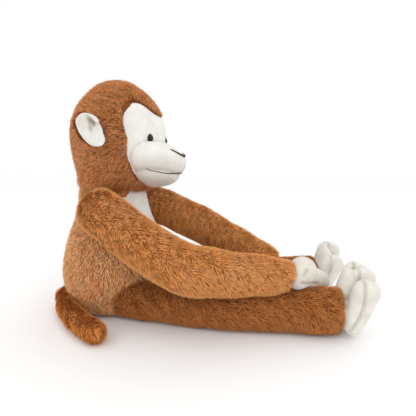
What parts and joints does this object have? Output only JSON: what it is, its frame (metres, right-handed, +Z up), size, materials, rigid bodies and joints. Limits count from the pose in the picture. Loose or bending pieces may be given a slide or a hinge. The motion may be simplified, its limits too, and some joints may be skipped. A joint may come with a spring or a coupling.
{
  "type": "stuffed monkey",
  "caption": "Sitting plush monkey with brown fur, cream face, tummy, hands and feet, long floppy arms and legs, a curled tail, and a head that turns and nods.",
  "frame": {"origin": "middle of the flat seat, on the surface the monkey sits on", "axes": "+Z up, the monkey faces -Y, its own left is +X; -Y to +Y is the longest way, from the toes to the tail"},
  "size_m": [0.2593, 0.4741, 0.348],
  "materials": {
    "brown_fur": "long pile plush, warm brown with lighter tips",
    "cream_velour": "short pile velour, warm white",
    "fibre_filling": "polyester fibre, hidden",
    "pellets": "plastic pellets in a liner, hidden",
    "eye_black": "glossy black",
    "washer_plastic": "natural plastic, hidden",
    "nose_thread": "dark brown stitched thread",
    "mouth_thread": "dark grey stitched thread"
  },
  "bodies": {
    "torso": {"body_fur": "brown_fur", "tummy_patch": "cream_velour", "body_stuffing": "fibre_filling", "seat_pellets": "pellets"},
    "neck": {"neck_stuffing": "fibre_filling"},
    "head": {"head_fur": "brown_fur", "face_patch": "cream_velour", "muzzle": "cream_velour", "chin": "cream_velour", "head_stuffing": "fibre_filling", "eye_left": "eye_black", "eye_right": "eye_black", "eye_washers": "washer_plastic", "nose_stitch": "nose_thread", "mouth_stitch": "mouth_thread"},
    "tail": {"tail_fur": "brown_fur", "tail_stuffing": "fibre_filling"},
    "left_ear": {"ear_front_left": "cream_velour", "ear_back_left": "brown_fur"},
    "left_upper_arm": {"upper_arm_fur_left": "brown_fur", "upper_arm_stuffing_left": "fibre_filling"},
    "left_forearm": {"forearm_fur_left": "brown_fur", "forearm_stuffing_left": "fibre_filling"},
    "left_hand": {"hand_left": "cream_velour", "hand_stuffing_left": "fibre_filling"},
    "left_thigh": {"thigh_fur_left": "brown_fur", "thigh_stuffing_left": "fibre_filling"},
    "left_shin": {"shin_fur_left": "brown_fur", "shin_stuffing_left": "fibre_filling"},
    "left_foot": {"foot_top_left": "cream_velour", "foot_sole_left": "cream_velour", "foot_stuffing_left": "fibre_filling"},
    "right_ear": {"ear_front_right": "cream_velour", "ear_back_right": "brown_fur"},
    "right_upper_arm": {"upper_arm_fur_right": "brown_fur", "upper_arm_stuffing_right": "fibre_filling"},
    "right_forearm": {"forearm_fur_right": "brown_fur", "forearm_stuffing_right": "fibre_filling"},
    "right_hand": {"hand_right": "cream_velour", "hand_stuffing_right": "fibre_filling"},
    "right_thigh": {"thigh_fur_right": "brown_fur", "thigh_stuffing_right": "fibre_filling"},
    "right_shin": {"shin_fur_right": "brown_fur", "shin_stuffing_right": "fibre_filling"},
    "right_foot": {"foot_top_right": "cream_velour", "foot_sole_right": "cream_velour", "foot_stuffing_right": "fibre_filling"}
  },
  "joints": [
    {"name": "neck_turn", "type": "hinge", "parent": "torso", "child": "neck", "pos_m": [0, 0, 0.196], "axis": [0, 0, 1], "range_deg": [-25, 25], "stiffness_Nm_per_rad": 0.4},
    {"name": "head_nod", "type": "hinge", "parent": "neck", "child": "head", "pos_m": [0, 0, 0.196], "axis": [1, 0, 0], "range_deg": [-8, 5], "stiffness_Nm_per_rad": 3},
    {"name": "tail_swing", "type": "hinge", "parent": "torso", "child": "tail", "pos_m": [-0.026, 0.0777, 0.017], "axis": [0, 0, -1], "range_deg": [0, 70]},
    {"name": "left_ear_fold", "type": "hinge", "parent": "head", "child": "left_ear", "pos_m": [0.0695, -0.024, 0.268], "axis": [0, 0, 1], "range_deg": [-15, 15], "stiffness_Nm_per_rad": 0.05},
    {"name": "left_shoulder", "type": "hinge", "parent": "torso", "child": "left_upper_arm", "pos_m": [0.079, -0.014, 0.158], "axis": [-0.8912, -0.158, 0.4251], "range_deg": [0, 100]},
    {"name": "left_elbow", "type": "hinge", "parent": "left_upper_arm", "child": "left_forearm", "pos_m": [0.078, -0.132, 0.112], "axis": [-0.8912, -0.158, 0.4251], "range_deg": [0, 40]},
    {"name": "left_wrist", "type": "hinge", "parent": "left_forearm", "child": "left_hand", "pos_m": [0.024, -0.272, 0.056], "axis": [-0.933, 0.36, 0], "range_deg": [0, 30], "stiffness_Nm_per_rad": 0.15},
    {"name": "left_hip", "type": "hinge", "parent": "torso", "child": "left_thigh", "pos_m": [0.056, -0.034, 0.029], "axis": [0.9905, 0.1376, 0], "range_deg": [0, 25]},
    {"name": "left_knee", "type": "hinge", "parent": "left_thigh", "child": "left_shin", "pos_m": [0.076, -0.178, 0.029], "axis": [0.9997, -0.0245, 0], "range_deg": [0, 40]},
    {"name": "left_ankle", "type": "hinge", "parent": "left_shin", "child": "left_foot", "pos_m": [0.072, -0.341, 0.029], "axis": [1, 0, 0], "range_deg": [-15, 20], "stiffness_Nm_per_rad": 0.4},
    {"name": "right_ear_fold", "type": "hinge", "parent": "head", "child": "right_ear", "pos_m": [-0.0695, -0.024, 0.268], "axis": [0, 0, -1], "range_deg": [-15, 15], "stiffness_Nm_per_rad": 0.05},
    {"name": "right_shoulder", "type": "hinge", "parent": "torso", "child": "right_upper_arm", "pos_m": [-0.079, -0.014, 0.158], "axis": [-0.8114, 0.4242, -0.4022], "range_deg": [0, 100]},
    {"name": "right_elbow", "type": "hinge", "parent": "right_upper_arm", "child": "right_forearm", "pos_m": [-0.113, -0.136, 0.098], "axis": [-0.8114, 0.4242, -0.4022], "range_deg": [0, 40]},
    {"name": "right_wrist", "type": "hinge", "parent": "right_forearm", "child": "right_hand", "pos_m": [-0.069, -0.281, 0.077], "axis": [-0.957, -0.29, 0], "range_deg": [0, 30], "stiffness_Nm_per_rad": 0.15},
    {"name": "right_hip", "type": "hinge", "parent": "torso", "child": "right_thigh", "pos_m": [-0.056, -0.034, 0.029], "axis": [0.9905, -0.1376, 0], "range_deg": [0, 25]},
    {"name": "right_knee", "type": "hinge", "parent": "right_thigh", "child": "right_shin", "pos_m": [-0.076, -0.178, 0.029], "axis": [0.9997, 0.0245, 0], "range_deg": [0, 40]},
    {"name": "right_ankle", "type": "hinge", "parent": "right_shin", "child": "right_foot", "pos_m": [-0.072, -0.341, 0.029], "axis": [1, 0, 0], "range_deg": [-15, 20], "stiffness_Nm_per_rad": 0.4}
  ]
}
